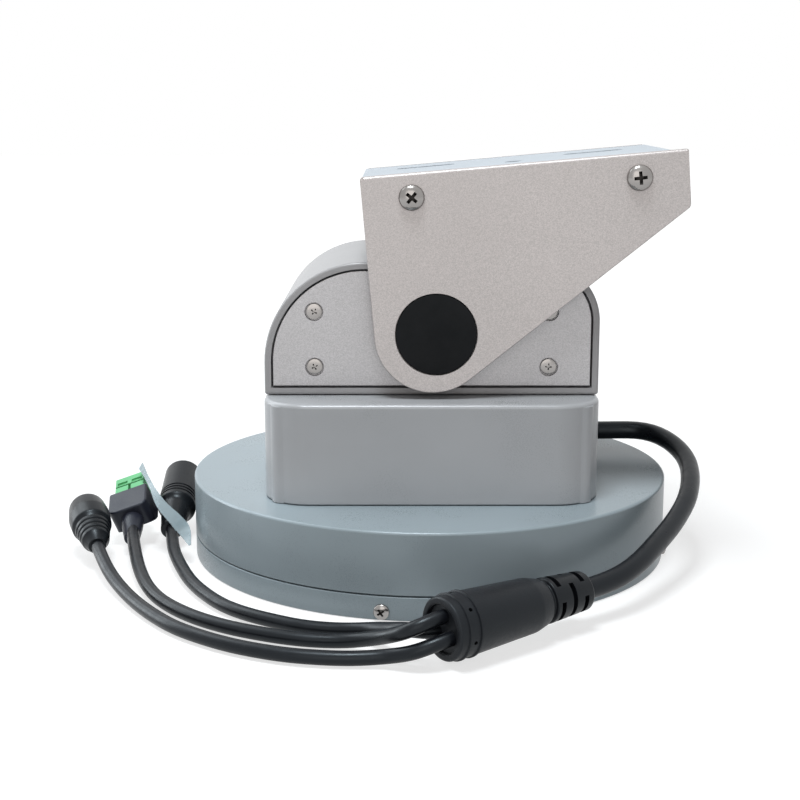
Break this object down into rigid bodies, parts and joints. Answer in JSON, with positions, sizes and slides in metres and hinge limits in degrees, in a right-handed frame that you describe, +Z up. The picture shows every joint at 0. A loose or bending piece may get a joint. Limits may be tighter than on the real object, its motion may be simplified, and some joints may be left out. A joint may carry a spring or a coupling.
{
  "type": "motorized pan tilt mount",
  "caption": "Motorized pan tilt mount: round turntable base, square body with an arched tilt housing, two side arms carrying a slotted camera platform, and a cable with connectors.",
  "frame": {"origin": "centre of the base's flat underside", "axes": "+Z up along the pan axis, -Y towards the front, tilt axis along Y, platform's free end towards +X"},
  "size_m": [0.2535, 0.2386, 0.1617],
  "materials": {
    "painted_metal": "satin grey paint",
    "silver_metal": "fine grained silver coating",
    "steel": "bright nickel plated",
    "brass": "machined",
    "black_rubber": "matte black",
    "black_plastic": "matte black",
    "cable_jacket": "semi-gloss black",
    "grey_plastic": "matte dark grey",
    "green_plastic": "semi-gloss green",
    "board_green": "solder mask",
    "clear_film": "pale film"
  },
  "bodies": {
    "base": {"base_plate": "painted_metal", "base_skirt": "painted_metal", "skirt_screw_1": "steel", "skirt_screw_2": "steel", "skirt_screw_3": "steel", "skirt_screw_4": "steel", "pan_spindle": "steel", "spindle_nut": "steel", "bearing_inner_ring": "steel", "pan_ring_gear": "steel"},
    "turret": {"turntable": "painted_metal", "bearing_outer_ring": "steel", "bearing_cage": "steel", "bearing_retainer": "steel", "body_housing": "painted_metal", "arch_shell": "silver_metal", "front_cover": "silver_metal", "rear_cover": "silver_metal", "front_gasket": "black_rubber", "rear_gasket": "black_rubber", "front_bush": "brass", "rear_bush": "brass", "cover_screw_1": "steel", "cover_screw_2": "steel", "cover_screw_3": "steel", "cover_screw_4": "steel", "pan_motor": "steel", "tilt_motor": "steel", "tilt_motor_bracket": "steel", "control_board": "board_green", "cable_gland": "black_rubber", "main_cable": "cable_jacket", "cable_splitter": "black_plastic", "splitter_relief": "black_rubber", "power_lead": "cable_jacket", "serial_lead": "cable_jacket", "network_lead": "cable_jacket", "power_connector": "black_rubber", "serial_block": "grey_plastic", "terminal_plug": "green_plastic", "network_connector": "black_rubber", "cable_tag": "clear_film"},
    "pan_drive": {"pan_pinion": "brass"},
    "cradle": {"tilt_shaft": "steel", "rear_arm_hub": "steel", "tilt_gear": "steel", "front_arm": "silver_metal", "rear_arm": "silver_metal", "front_arm_cap": "black_plastic", "rear_arm_cap": "black_plastic", "camera_platform": "silver_metal", "platform_screw_1": "steel", "platform_screw_2": "steel", "platform_screw_3": "steel", "platform_screw_4": "steel"},
    "tilt_drive": {"tilt_pinion": "brass"}
  },
  "joints": [
    {"name": "pan", "type": "hinge", "parent": "base", "child": "turret", "pos_m": [0, 0, 0], "axis": [0, 0, 1], "range_deg": [-175, 175]},
    {"name": "pan_pinion_spin", "type": "hinge", "parent": "turret", "child": "pan_drive", "pos_m": [-0.03712, 0.03712, 0.0123], "axis": [0, 0, 1], "range_deg": [-701, 701]},
    {"name": "tilt", "type": "hinge", "parent": "turret", "child": "cradle", "pos_m": [0.0015, 0, 0.0948], "axis": [0, -1, 0], "range_deg": [-34.9, 40]},
    {"name": "tilt_pinion_spin", "type": "hinge", "parent": "turret", "child": "tilt_drive", "pos_m": [0.0015, 0.0285, 0.0673], "axis": [0, -1, 0], "range_deg": [-86, 75]}
  ],
  "couplings": [
    {"joint": "pan_pinion_spin", "follows": "pan", "ratio": 4},
    {"joint": "tilt_pinion_spin", "follows": "tilt", "ratio": -2.1429}
  ]
}
